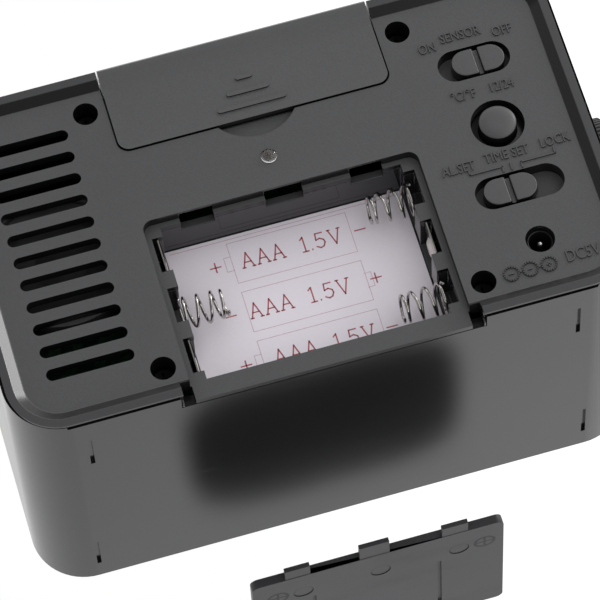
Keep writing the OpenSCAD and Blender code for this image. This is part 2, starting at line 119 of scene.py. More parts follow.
class Recipe:
    """One material, written node by node."""

    def __init__(self, name: str) -> None:
        """Starts an empty material of that name."""
        self.material = bpy.data.materials.new(name)
        self.material.use_nodes = True
        self.tree = self.material.node_tree
        self.tree.nodes.clear()

    def node(self, kind: str, settings: Optional[dict[str, Any]] = None,
             inputs: Optional[dict[Any, Value]] = None, out: Any = 0) -> Wire:
        """Adds one node: its settings are set first, then its sockets.

        Args:
            kind: the node's type.
            settings: attributes by name.
            inputs: values or wires by socket name or number.
            out: the output that is wanted.

        Returns:
            That output as a wire.
        """
        made = self.tree.nodes.new(kind)
        for key, value in (settings or {}).items():
            setattr(made, key, value)
        for key, value in (inputs or {}).items():
            if isinstance(value, Wire):
                self.tree.links.new(value.socket, made.inputs[key])
            else:
                made.inputs[key].default_value = value
        return Wire(self, made.outputs[out])

    def place(self, scale: Value = (1.0, 1.0, 1.0), move: Point = (0.0, 0.0, 0.0)) -> Wire:
        """Object coordinates, scaled and then moved."""
        where = self.node("ShaderNodeTexCoord", out="Object")
        return self.node("ShaderNodeMapping", None, {"Vector": where, "Scale": scale, "Location": move})

    def noise(self, per_metre: float, detail: float = 2.0, vector: Optional[Wire] = None) -> Wire:
        """Soft noise between 0 and 1.

        Args:
            per_metre: how many blobs fit in a metre.
            detail: octaves.
            vector: coordinates, or plain object coordinates if left out.

        Returns:
            The value as a wire.
        """
        return self.node("ShaderNodeTexNoise", None,
                         {"Vector": vector or self.place(), "Scale": per_metre, "Detail": detail})

    def split(self, vector: Wire) -> tuple[Wire, Wire, Wire]:
        """The three parts of a vector."""
        x = self.node("ShaderNodeSeparateXYZ", None, {0: vector}, "X")
        outs = x.socket.node.outputs
        return x, Wire(self, outs["Y"]), Wire(self, outs["Z"])

    def blend(self, factor: Value, first: Value, second: Value) -> Wire:
        """Mixes two colours: factor 0 gives the first and 1 the second."""
        return self.node("ShaderNodeMix", {"data_type": "RGBA"}, {0: factor, 6: first, 7: second}, 2)

    def relief(self, height: Wire, strength: float, depth: float) -> Wire:
        """A Bump node.

        Args:
            height: the height as a wire, 0 to 1.
            strength: how strongly it is felt.
            depth: metres from 0 to 1.

        Returns:
            The normal as a wire.
        """
        return self.node("ShaderNodeBump", None,
                         {"Height": height, "Strength": strength, "Distance": depth}, "Normal")

    def finish(self, sockets: dict[str, Value]) -> bpy.types.Material:
        """Ends the material in a Principled shader with those values and wires."""
        return self.output(self.node("ShaderNodeBsdfPrincipled", None, sockets, "BSDF"))

    def output(self, shader: Wire) -> bpy.types.Material:
        """Joins a shader to the material's output and gives the material."""
        out = self.tree.nodes.new("ShaderNodeOutputMaterial")
        self.tree.links.new(shader.socket, out.inputs["Surface"])
        return self.material


def rgba(colour: Colour, factor: float = 1.0) -> tuple[float, float, float, float]:
    """A colour times a factor, with full alpha."""
    return (colour[0] * factor, colour[1] * factor, colour[2] * factor, 1.0)


# ---------------------------------------------------------------- finishes


@dataclass(frozen=True)
class MouldedPlastic:
    """Opaque moulded plastic: a fine spark-eroded grain, faint cloudiness and handling marks."""

    name: str
    colour: Colour
    roughness: float
    grain: float
    grain_size: float
    cloud: float = 0.14
    scuff: float = 0.06
    specular: float = 0.5

    def with_mark_shade(self, r: Recipe, colour: Wire) -> Wire:
        """The colour with painted shade at the moulding's marks; a plain moulding has none."""
        return colour

    def material(self) -> bpy.types.Material:
        """Writes the material."""
        r = Recipe(self.name)
        cloud = r.noise(55.0, 3.0)
        grain = r.noise(1.0 / self.grain_size, 1.0)
        rub = r.noise(30.0, 5.0, r.place((1.0, 3.0, 0.6))).fade(0.52, 0.74)
        tint = (cloud - 0.5) * self.cloud + (grain - 0.5) * (0.5 * self.cloud) + 0.5
        colour = self.with_mark_shade(r, r.blend(tint, rgba(self.colour, 0.55), rgba(self.colour, 1.45)))
        rough = rub * self.scuff + (cloud - 0.5) * 0.06 + self.roughness
        return r.finish({"Base Color": colour, "Roughness": rough, "Specular IOR Level": self.specular,
                         "Normal": r.relief(grain, self.grain, 0.00006)})


@dataclass(frozen=True)
class InnerFace(MouldedPlastic):
    """The loose cover's inside: dark rings painted as shade at the ejector pins' marks, two of them crossed.

    A ring is where the distance from a pin is close to its radius; a cross is where either offset is small.
    """

    pins: tuple[tuple[float, float, bool], ...] = ()
    ring: float = 2.0

    def with_mark_shade(self, r: Recipe, colour: Wire) -> Wire:
        """Paints shade into the rings and crosses on the lower face; lengths are in millimetres."""
        x, y, z = r.split(r.place(TO_MM))
        below = 1.0 - z.fade(0.2, 0.4)
        for pin_x, pin_y, crossed in self.pins:
            across, along = (x - pin_x / MM) ** 2.0, (y - pin_y / MM) ** 2.0
            far = (across + along) ** 0.5
            wide, share = (0.16, 0.95) if crossed else (0.04, 0.8)
            pin_shade = 1.0 - ((far - self.ring) ** 2.0).fade(0.2 * wide, wide)
            if crossed:
                arms = (1.0 - across.fade(0.02, 0.10)).at_least(1.0 - along.fade(0.02, 0.10))
                pin_shade = pin_shade.at_least(arms * (1.0 - far.fade(self.ring - 0.2, self.ring)))
            # Painted shade: the rings and crosses turn almost black.
            colour = r.blend(pin_shade * below * share, colour, rgba(self.colour, 0.08))
        return colour


@dataclass(frozen=True)
class GlossPlastic:
    """Polished black plastic with the slight waviness of a moulded sheet and a few hairlines."""

    name: str
    colour: Colour
    roughness: float
    wave: float = 0.08

    def cover(self, r: Recipe) -> Value:
        """How much the plastic hides what is behind it; a plain moulding hides all."""
        return 1.0

    def material(self) -> bpy.types.Material:
        """Writes the material."""
        r = Recipe(self.name)
        slow = r.noise(28.0, 2.0)
        lines = r.noise(900.0, 2.0, r.place((0.06, 1.0, 1.0))).fade(0.63, 0.75)
        dust = r.noise(1500.0, 1.0).fade(0.70, 0.80)
        colour = r.blend(dust * 0.25, rgba(self.colour), (0.10, 0.10, 0.10, 1.0))
        rough = slow * 0.05 + lines * 0.05 + (self.roughness - 0.02)
        return r.finish({"Base Color": colour, "Roughness": rough, "Alpha": self.cover(r),
                         "Normal": r.relief(slow, self.wave, 0.0008)})


@dataclass(frozen=True)
class TintedWindow(GlossPlastic):
    """Smoked window that is clear only over the opening of its mask."""

    tint: float = 0.42
    half_w: float = 44.0
    half_h: float = 19.0
    mid_z: float = 35.15

    def cover(self, r: Recipe) -> Value:
        """Thin over the opening and full around it; lengths are in millimetres."""
        x, _, z = r.split(r.place(TO_MM, (0.0, 0.0, -self.mid_z)))
        beside, above = (((part ** 2.0) ** 0.5).fade(half - 0.2, half + 0.2)
                         for part, half in ((x, self.half_w), (z, self.half_h)))
        return beside.at_least(above) * (1.0 - self.tint) + self.tint


@dataclass(frozen=True)
class Metal:
    """Plated or pressed metal with drawing lines and a little tarnish."""

    name: str
    colour: Colour
    roughness: float
    lines: float = 0.12
    tarnish: Colour = (0.30, 0.26, 0.21)

    def material(self) -> bpy.types.Material:
        """Writes the material."""
        r = Recipe(self.name)
        drawn = r.noise(2600.0, 2.0, r.place((0.15, 1.0, 0.6)))
        stain = r.noise(420.0, 4.0).fade(0.56, 0.74)
        colour = r.blend(stain * 0.45, rgba(self.colour), rgba(self.tarnish))
        rough = drawn * self.lines + stain * 0.16 + self.roughness
        return r.finish({"Base Color": colour, "Metallic": 1.0, "Roughness": rough,
                         "Normal": r.relief(drawn, 0.15, 0.00003)})


@dataclass(frozen=True)
class LabelPaper:
    """Thin coated paper with fibres and a soft sheen."""

    name: str
    colour: Colour

    def material(self) -> bpy.types.Material:
        """Writes the material."""
        r = Recipe(self.name)
        fibre = r.noise(3200.0, 3.0, r.place((0.35, 1.0, 1.0)))
        fade = r.noise(38.0, 2.0)
        tint = (fibre - 0.5) * 0.5 + (fade - 0.5) * 0.7 + 0.5
        colour = r.blend(tint, rgba(self.colour, 0.93), rgba(self.colour, 1.07))
        return r.finish({"Base Color": colour, "Roughness": fibre * 0.15 + 0.55,
                         "Normal": r.relief(fibre, 0.12, 0.00003)})


@dataclass(frozen=True)
class PrintedInk:
    """Ink that breaks up slightly where it is thin."""

    name: str
    colour: Colour
    thin: float = 0.6

    def material(self) -> bpy.types.Material:
        """Writes the material."""
        r = Recipe(self.name)
        speck = r.noise(5200.0, 3.0)
        colour = r.blend(speck.fade(0.45, 0.72) * self.thin, rgba(self.colour), rgba(self.colour, 1.7))
        return r.finish({"Base Color": colour, "Roughness": speck * 0.1 + 0.5})


@dataclass(frozen=True)
class ClearPlastic:
    """Clear moulded plastic, slightly frosted, for the lens and the light guide."""

    name: str
    colour: Colour
    transmission: float
    roughness: float
    alpha: float = 1.0

    def material(self) -> bpy.types.Material:
        """Writes the material."""
        r = Recipe(self.name)
        haze = r.noise(700.0, 3.0)
        colour = r.blend(haze * 0.3, rgba(self.colour), rgba(self.colour, 0.85))
        return r.finish({"Base Color": colour, "Roughness": haze * 0.04 + self.roughness, "IOR": 1.49,
                         "Transmission Weight": self.transmission, "Alpha": self.alpha})


@dataclass(frozen=True)
class BoardMask:
    """Green solder mask over copper tracks and round pads."""

    name: str
    colour: Colour = (0.03, 0.17, 0.07)
    track: Colour = (0.06, 0.30, 0.12)
    pad: Colour = (0.62, 0.55, 0.30)

    def material(self) -> bpy.types.Material:
        """Writes the material."""
        r = Recipe(self.name)
        lane = r.node("ShaderNodeTexWave", {"bands_direction": "DIAGONAL"},
                      {"Vector": r.place((1.0, 0.0, 1.0)), "Scale": 95.0, "Distortion": 6.0,
                       "Detail": 0.0}, "Fac").fade(0.55, 0.65)
        cells = r.node("ShaderNodeTexVoronoi", None, {"Vector": r.place(), "Scale": 220.0}, "Distance")
        dots = 1.0 - cells.fade(0.12, 0.16)
        base = r.blend(lane, rgba(self.colour), rgba(self.track))
        return r.finish({"Base Color": r.blend(dots, base, rgba(self.pad)), "Roughness": 0.42 - dots * 0.15,
                         "Metallic": dots * 0.9, "Normal": r.relief(lane, 0.2, 0.00004)})


@dataclass(frozen=True)
class FacedPlastic:
    """Black moulding with a spark-eroded face towards +Y, and polished walls and recesses in a darker colour
    that is painted shade.
    """

    name: str
    colour: Colour = (0.060, 0.0605, 0.063)
    # The wall colour is painted shade, taken by walls that turn away from +Y.
    wall_shade: Colour = (0.007, 0.007, 0.0075)
    roughness: float = 0.5
    grain: float = 0.5
    polish: float = 0.2

    def face(self, r: Recipe) -> tuple[Wire, Wire, Wire]:
        """The face's share of the surface, its colour and its grain.

        Args:
            r: the material being written.

        Returns:
            Share from 0 on walls to 1 on faces, the face's colour, and the grain's height.
        """
        across = r.node("ShaderNodeTexCoord", out="Normal")
        share = r.split(across)[1].fade(0.45, 0.9)
        cloud = r.noise(46.0, 3.0)
        grain = r.noise(3400.0, 2.0)
        tint = (cloud - 0.5) * 0.16 + (grain - 0.5) * 0.42 + 0.5
        return share, r.blend(tint, rgba(self.colour, 0.62), rgba(self.colour, 1.38)), grain

    def eroded(self, r: Recipe, colour: Wire, share: Wire, grain: Wire, smooth: float) -> bpy.types.Material:
        """Ends the material with the grain and the roughness of the eroded share only.

        Args:
            r: the material being written.
            colour: the base colour.
            share: 1 where the surface is eroded and 0 where it is polished.
            grain: the grain's height.
            smooth: roughness of the polished share.

        Returns:
            The finished material.
        """
        return r.finish({"Base Color": colour, "Roughness": share * (self.roughness - smooth) + smooth,
                         "Normal": r.relief(grain * share, self.grain, 0.00006)})

    def material(self) -> bpy.types.Material:
        """Writes the material."""
        r = Recipe(self.name)
        share, colour, grain = self.face(r)
        # Painted shade: walls and recesses, where the normal turns away from +Y, get the dark wall colour.
        return self.eroded(r, r.blend(share, rgba(self.wall_shade), colour), share, grain, self.polish)


@dataclass(frozen=True)
class CoverRim(FacedPlastic):
    """The rear cover's plastic: also polished where it rises behind the panel, with painted shade on that
    rise and deep inside.
    """

    panel_y: float = 0.0
    deep: float = 4.0 * MM

    def material(self) -> bpy.types.Material:
        """Writes the material: the roughness and the painted shade change with the distance from the panel.
        """
        r = Recipe(self.name)
        share, colour, grain = self.face(r)
        y = r.split(r.place())[1] - self.panel_y
        risen = y.fade(0.03 * MM, 0.12 * MM)
        flat = y.fade(PANEL_RISE - 0.12 * MM, PANEL_RISE - 0.04 * MM)
        outside = y.fade(-self.deep, -self.deep + 0.8 * MM)
        # Painted shade: the rise behind the panel takes the dark wall colour, and the rim's top is a little
        # darker than the panel.
        colour = r.blend(risen, colour, r.blend(flat, rgba(self.wall_shade), rgba(self.colour, 0.85)))
        # Painted shade: walls, and everything more than deep below the panel, take a darker wall colour.
        colour = r.blend(outside * share, rgba(self.wall_shade, 0.7), colour)
        return self.eroded(r, colour, share * (1.0 - risen) * outside, grain, 0.22)


@dataclass(frozen=True)
class SunkPlastic(FacedPlastic):
    """Control plastic with painted shade where it sits below the panel."""

    panel_y: float = 0.0
    deep: float = 2.0 * MM

    def material(self) -> bpy.types.Material:
        """Writes the material: the roughness and the painted shade change with the distance from the panel.
        """
        r = Recipe(self.name)
        share, colour, grain = self.face(r)
        # Painted shade: below the panel, inside its hole, the control takes a dark wall colour.
        out = (r.split(r.place())[1] - self.panel_y).fade(-self.deep, -self.deep + 0.6 * MM) * share
        return self.eroded(r, r.blend(out, rgba(self.wall_shade, 0.6), colour), out, grain, 0.25)


class Finish(Enum):
    """The finishes of the clock."""

    CASE = GlossPlastic("polished_case_black", (0.006, 0.006, 0.0065), 0.15)
    # The faced finishes paint shade on their walls: the bay in its second colour, the others in the
    # near-black default.
    TRAY = FacedPlastic("bay_black", (0.040, 0.040, 0.043), (0.016, 0.016, 0.018), 0.42, 0.2, 0.05)
    CONTROL = FacedPlastic("control_black", (0.064, 0.064, 0.067), roughness=0.42, grain=0.25)
    HATCH = FacedPlastic("hatch_black", (0.068, 0.0685, 0.071), roughness=0.46)
    SNOOZE = MouldedPlastic("top_bar_black", (0.05, 0.05, 0.054), 0.3, 0.12, 0.0003)
    DIAL = MouldedPlastic("dial_rubber_black", (0.03, 0.03, 0.032), 0.62, 0.35, 0.0003)
    SWITCH = MouldedPlastic("switch_black", (0.05, 0.05, 0.054), 0.45, 0.15, 0.0002)
    HOLDER = MouldedPlastic("holder_white", (0.72, 0.72, 0.69), 0.45, 0.1, 0.0003, 0.05)
    CONE = MouldedPlastic("speaker_film", (0.02, 0.02, 0.021), 0.6, 0.4, 0.0006)
    SPEAKER = MouldedPlastic("speaker_pressing", (0.05, 0.05, 0.052), 0.4, 0.15, 0.0003)
    STRIP = MouldedPlastic("soft_strip_pink", (0.75, 0.40, 0.34), 0.6, 0.3, 0.0004, 0.3)
    RESIN = GlossPlastic("poured_resin", (0.01, 0.01, 0.011), 0.25, 0.3)
    SOCKET = GlossPlastic("socket_black", (0.008, 0.008, 0.009), 0.3, 0.1)
    WINDOW = TintedWindow("window_tint", (0.004, 0.004, 0.005), 0.05, 0.02)
    CHIP = GlossPlastic("sensor_amber_black", (0.05, 0.025, 0.012), 0.2, 0.1)
    MASK = PrintedInk("mask_black", (0.006, 0.006, 0.006), 0.2)
    # The letters' near-black sides are painted shade that outlines the raised letters.
    LETTERS = FacedPlastic("raised_letter_black", (0.060, 0.060, 0.063), (0.004, 0.004, 0.004))
    RED_INK = PrintedInk("label_red", (0.36, 0.085, 0.10))
    FINE_INK = PrintedInk("label_fine_line", (0.42, 0.26, 0.32), 0.9)
    GHOST = PrintedInk("segment_grey", (0.10, 0.115, 0.105), 0.3)
    LABEL = LabelPaper("label_paper", (0.72, 0.675, 0.735))
    CONTACT = Metal("nickel_contact", (0.80, 0.76, 0.71), 0.16)
    SPRING = Metal("nickel_wire", (0.50, 0.48, 0.46), 0.07, 0.05, (0.16, 0.14, 0.12))
    SCREW = Metal("black_zinc", (0.035, 0.035, 0.037), 0.4, 0.15, (0.02, 0.02, 0.02))
    BRIGHT = Metal("bright_plate", (0.82, 0.82, 0.80), 0.18)
    CAN = Metal("switch_can", (0.62, 0.62, 0.64), 0.28)
    LENS = ClearPlastic("clear_dome", (0.97, 0.97, 0.98), 1.0, 0.0)
    GLASS = ClearPlastic("display_glass", (0.42, 0.47, 0.43), 0.0, 0.08, 0.9)
    GUIDE = ClearPlastic("light_guide", (0.80, 0.84, 0.88), 0.3, 0.35)
    BOARD = BoardMask("board_green")

    @property
    def made(self) -> bpy.types.Material:
        """The finish's material, written once."""
        return bpy.data.materials.get(self.value.name) or self.value.material()


# ---------------------------------------------------------------- mesh tools


def node_box(node: str) -> tuple[Array, Array]:
    """Lowest and highest corner of a node at rest, as arrays."""
    low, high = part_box(node)
    return np.array(low), np.array(high)


class RoundNode:
    """Middle, radius and both ends along Y of a node that is round about Y."""

    def __init__(self, node: str) -> None:
        """Measures the node."""
        low, high = node_box(node)
        self.x, self.z = float(low[0] + high[0]) / 2, float(low[2] + high[2]) / 2
        self.radius = float(high[0] - low[0]) / 2
        self.low, self.high = float(low[1]), float(high[1])

    def at(self, y: float) -> Point:
        """The point of its axis at that Y."""
        return (self.x, y, self.z)


def linked(name: str, data: Any) -> bpy.types.Object:
    """Makes an object of some data and puts it into the scene, at the origin."""
    thing = bpy.data.objects.new(name, data)
    bpy.context.collection.objects.link(thing)
    return thing


def evaluated(thing: bpy.types.Object) -> bpy.types.Mesh:
    """A new mesh of an object as it comes out of its modifiers."""
    return bpy.data.meshes.new_from_object(thing.evaluated_get(bpy.context.evaluated_depsgraph_get()))


def smooth(mesh: bpy.types.Mesh, sharp: float) -> None:
    """Smooth shading that breaks at edges sharper than that many degrees."""
    mesh.polygons.foreach_set("use_smooth", np.ones(len(mesh.polygons), dtype=bool))
    mesh.set_sharp_from_angle(angle=math.radians(sharp))


def mesh_from(name: str, points: Array, faces: Iterable[Sequence[int]], sharp: float = 30.0,
              merge: float = 1e-7) -> bpy.types.Object:
    """Makes a closed, smooth-shaded object from points and faces.

    Args:
        name: the piece's name.
        points: n by 3 positions in metres.
        faces: indices of each face.
        sharp: angle in degrees past which an edge stays crisp.
        merge: distance under which points are one.

    Returns:
        The new object, at the origin.
    """
    mesh = bpy.data.meshes.new(name)
    mesh.from_pydata(np.asarray(points).tolist(), [], [list(map(int, f)) for f in faces])
    work = bmesh.new()
    work.from_mesh(mesh)
    bmesh.ops.remove_doubles(work, verts=work.verts, dist=merge)
    bmesh.ops.dissolve_degenerate(work, edges=work.edges, dist=merge)
    bmesh.ops.recalc_face_normals(work, faces=work.faces)
    work.to_mesh(mesh)
    work.free()
    smooth(mesh, sharp)
    return linked(name, mesh)


def grid_quads(rows: int, cols: int, wrap: bool) -> Array:
    """Faces of a grid of points kept row by row.

    Args:
        rows: number of rows.
        cols: number of columns.
        wrap: True if the last column joins the first.

    Returns:
        An m by 4 array of indices.
    """
    i, j = np.meshgrid(np.arange(rows - 1), np.arange(cols if wrap else cols - 1), indexing="ij")
    k = (j + 1) % cols
    return np.stack([i * cols + j, i * cols + k, (i + 1) * cols + k, (i + 1) * cols + j], -1).reshape(-1, 4)


def lathe(name: str, profile: Sequence[tuple[float, float]], centre: Point, axis: str = "y",
          sides: int = 64, knurl: float = 0.0, teeth: int = 0, grip: float = 0.0) -> bpy.types.Object:
    """A profile turned about an axis.

    The point of the profile at radius r and height h goes to (h, r cos t, r sin t) in the axis' own frame.
    With teeth, points whose radius is more than grip sink by knurl where a rounded tooth wave of t is high.

    Args:
        name: the piece's name.
        profile: radius and height pairs in metres, from one end of the axis to the other.
        centre: where height zero lies.
        axis: "x" or "y".
        sides: points round the axis.
        knurl: depth of the teeth.
        teeth: how many there are.
        grip: the radius past which they are cut.

    Returns:
        The new object.
    """
    line = np.array(profile)
    turn = np.linspace(0.0, 2.0 * np.pi, sides, endpoint=False)
    radius = np.repeat(line[:, :1], sides, 1)
    if teeth:
        wave = 1.0 - np.abs(np.cos(0.5 * teeth * turn)) ** 0.6
        radius = radius - knurl * (wave[None, :] > 0.42) * (radius > grip)
    height = np.repeat(line[:, 1:], sides, 1)
    a, b = radius * np.cos(turn), radius * np.sin(turn)
    parts = (height, a, b) if axis == "x" else (b, height, a)
    points = np.stack(parts, -1).reshape(-1, 3) + np.array(centre)
    return mesh_from(name, points, grid_quads(len(line), sides, True), 35.0)


def eased_profile(corners: Sequence[tuple[float, float]], ease: float, steps: int = 4) -> Profile:
    """A profile whose inner corners are rounded: each becomes a short quadratic curve.

    Args:
        corners: radius and height pairs.
        ease: how far before and after a corner its curve starts and ends.
        steps: points on each curve.

    Returns:
        The rounded profile.
    """
    pts = [np.array(c, dtype=float) for c in corners]
    out = [tuple(pts[0])]
    t = np.linspace(0.0, 1.0, steps)[:, None]
    for before, here, after in zip(pts, pts[1:], pts[2:]):
        d0, d1 = before - here, after - here
        a = here + d0 * min(0.45, ease / max(np.linalg.norm(d0), 1e-9))
        b = here + d1 * min(0.45, ease / max(np.linalg.norm(d1), 1e-9))
        out += [tuple(p) for p in (1 - t) ** 2 * a + 2 * t * (1 - t) * here + t ** 2 * b]
    return out + [tuple(pts[-1])]


def tube(name: str, path: Array, radius: float, along: Point, sides: int) -> bpy.types.Object:
    """A round wire along a path, closed by rounded ends.

    Each ring lies across the path's direction; the end rings shrink to a point over one radius.

    Args:
        name: the piece's name.
        path: n by 3 points in metres.
        radius: half the wire's thickness.
        along: an axis that the path is never parallel to.
        sides: points round the wire.

    Returns:
        The new object.
    """
    lead = np.gradient(path, axis=0)
    lead /= np.linalg.norm(lead, axis=1, keepdims=True)
    side = np.cross(lead, np.array(along))
    side /= np.linalg.norm(side, axis=1, keepdims=True)
    rise = np.cross(lead, side)
    ends = np.array([0.0, 0.7])
    shrink = np.concatenate([ends, np.ones(len(path)), ends[::-1]])
    path = np.concatenate([path[:1] - lead[:1] * radius, path[:1] - lead[:1] * radius * 0.7, path,
                           path[-1:] + lead[-1:] * radius * 0.7, path[-1:] + lead[-1:] * radius])
    side, rise = (np.concatenate([v[:1], v[:1], v, v[-1:], v[-1:]]) for v in (side, rise))
    turn = np.linspace(0.0, 2.0 * np.pi, sides, endpoint=False)[None, :, None]
    ring = side[:, None, :] * np.cos(turn) + rise[:, None, :] * np.sin(turn)
    points = path[:, None, :] + radius * shrink[:, None, None] * ring
    return mesh_from(name, points.reshape(-1, 3), grid_quads(len(path), sides, True), 60.0, 1e-8)


def prisms(name: str, flats: Array, y: float, high: float) -> bpy.types.Object:
    """Thin closed plates: each outline of the X-Z plane at y, and the same outline high further along Y.

    Args:
        name: the piece's name.
        flats: count by corners by 2 outline points in metres.
        y: the surface that the plates lie on.
        high: how far they stand out of it towards +Y.

    Returns:
        The new object.
    """
    count, n = flats.shape[:2]
    floor = np.stack([flats[..., 0], np.full((count, n), y), flats[..., 1]], -1)
    points = np.concatenate([floor, floor + np.array([0.0, high, 0.0])], 1).reshape(-1, 3)
    caps = [list(range(n)), list(range(2 * n - 1, n - 1, -1))]
    plate = caps + [[i, n + i, n + (i + 1) % n, (i + 1) % n] for i in range(n)]
    faces = [[i + 2 * n * k for i in face] for k in range(count) for face in plate]
    return mesh_from(name, points, faces, merge=1e-9)


def strokes(name: str, lines: Any, width: float, y: float, high: float) -> bpy.types.Object:
    """Flat bars, each from one point of the X-Z plane to another.

    The four corners of a bar are its ends plus and minus half its width across it, stretched a little.

    Args:
        name: the piece's name.
        lines: x, z of one end and x, z of the other, in metres, for each bar.
        width: width of a bar.
        y: the surface that the bars lie on.
        high: how far they stand out of it.

    Returns:
        The new object.
    """
    ends = np.array(lines).reshape(-1, 2, 2)
    lead = ends[:, 1] - ends[:, 0]
    lead = lead / np.linalg.norm(lead, axis=1, keepdims=True)
    across = np.stack([-lead[:, 1], lead[:, 0]], -1) * width / 2
    first, last = ends[:, 0] - lead * width * 0.4, ends[:, 1] + lead * width * 0.4
    flats = np.stack([first - across, last - across, last + across, first + across], 1)
    return prisms(name, flats, y, high)


def lettering(name: str, words: Sequence[tuple[str, float, float, float]], y: float, high: float,
              squeeze: float) -> bpy.types.Object:
    """Words of the built-in font as one thin raised mesh, for a reader behind the clock.

    A letter's own (x, y) goes to (-x, z).

    Args:
        name: the piece's name.
        words: text, middle x, middle z and letter height, in metres.
        y: the surface that they stand on.
        high: how far they stand out of it.
        squeeze: width of a letter against its normal width.

    Returns:
        The new object.
    """
    points: list[Array] = []
    faces: list[Array] = []
    start = 0
    for text, x, z, size in words:
        curve = bpy.data.curves.new(name + "_line", "FONT")
        curve.body, curve.size = text, size / 0.72
        curve.align_x, curve.align_y = "CENTER", "CENTER"
        curve.extrude, curve.resolution_u = 0.001, 3
        holder = linked(name + "_line", curve)
        mesh = evaluated(holder)
        flat = np.empty(len(mesh.vertices) * 3)
        mesh.vertices.foreach_get("co", flat)
        flat = flat.reshape(-1, 3)
        out = np.where(flat[:, 2] > 0, high, 0.0)
        points.append(np.stack([x - squeeze * flat[:, 0], y + out, z + flat[:, 1]], -1))
        faces += [np.array(p.vertices) + start for p in mesh.polygons]
        start += len(flat)
        bpy.data.objects.remove(holder)
        bpy.data.curves.remove(curve)
    return mesh_from(name, np.concatenate(points), faces, merge=1e-8)


def eased_copy(node: str, width: float, name: str = "", big: float = 0.0,
               big_at: Optional[float] = None) -> bpy.types.Object:
    """A copy of a node whose crisp edges are eased.

    The copy is merged, edges of more than 28 degrees get a narrow bevel, and shading follows the flats.

    Args:
        node: the node that is copied and replaced.
        width: width of the easing in metres.
        name: the piece's name; the node's name with "_eased" if left out.
        big: width of a broader easing.
        big_at: the Y of the outer edge loop that gets the broader easing.

    Returns:
        The new object, which replaces the node.
    """
    name = name or node + "_eased"
    work = bmesh.new()
    work.from_mesh(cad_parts[node].data)
    bmesh.ops.remove_doubles(work, verts=work.verts, dist=2e-6)
    bmesh.ops.dissolve_limit(work, angle_limit=math.radians(0.6), verts=work.verts, edges=work.edges)
    layer = work.edges.layers.float.new("bevel_weight_edge")
    low, high = node_box(node)
    small = width / max(width, big)
    for edge in work.edges:
        if edge.calc_face_angle(0.0) < math.radians(28.0):
            continue
        edge[layer] = small
        if big_at is not None and all(abs(v.co.y - big_at) < 2e-5 for v in edge.verts):
            middle = (edge.verts[0].co + edge.verts[1].co) / 2
            inset = min(middle.x - low[0], high[0] - middle.x, middle.z - low[2], high[2] - middle.z)
            if inset < 4.5 * MM:
                edge[layer] = 1.0
    mesh = bpy.data.meshes.new(name)
    work.to_mesh(mesh)
    work.free()
    piece = linked(name, mesh)
    ease = piece.modifiers.new("ease", "BEVEL")
    ease.width, ease.segments, ease.limit_method = max(width, big), 3 if big else 2, "WEIGHT"
    ease.use_clamp_overlap, ease.miter_outer = True, "MITER_ARC"
    done = evaluated(piece)
    piece.modifiers.clear()
    piece.data = done
    done.name = name
    smooth(done, 42.0)
    even = piece.modifiers.new("even_shading", "WEIGHTED_NORMAL")
    even.keep_sharp, even.mode, even.weight = True, "FACE_AREA", 50
    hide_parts(node)
    return piece


def dress(piece: bpy.types.Object, finish: Union[Finish, bpy.types.Material], body: str) -> None:
    """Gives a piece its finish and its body.

    Args:
        piece: the object.
        finish: its finish or material.
        body: the body it rides on.
    """
    piece.data.materials.clear()
    piece.data.materials.append(finish.made if isinstance(finish, Finish) else finish)
    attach(piece, body)
    LOG.info("%s: %d faces on %s", piece.name, len(piece.data.polygons), body)


def dress_nodes(**finishes: Finish) -> None:
    """Gives nodes that keep their own mesh their finishes, by node name."""
    for node, finish in finishes.items():
        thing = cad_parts[node]
        if not thing.material_slots:
            raise RuntimeError(f"{node} has no material slot")
        for slot in thing.material_slots:
            slot.material = finish.made
        LOG.info("%s: own mesh, %s", node, finish.name)


# ---------------------------------------------------------------- the clock's sub-assemblies


@dataclass
class CaseShell:
    """Front housing: a polished shell with its outer front edge well rounded."""

    ease: float = 0.25 * MM
    front_ease: float = 1.3 * MM

    def build(self) -> None:
        """Copies the housing."""
        front_y = node_box("front_housing")[0][1]
        shell = eased_copy("front_housing", self.ease, "case_shell", self.front_ease, front_y)
        dress(shell, Finish.CASE, "clock")


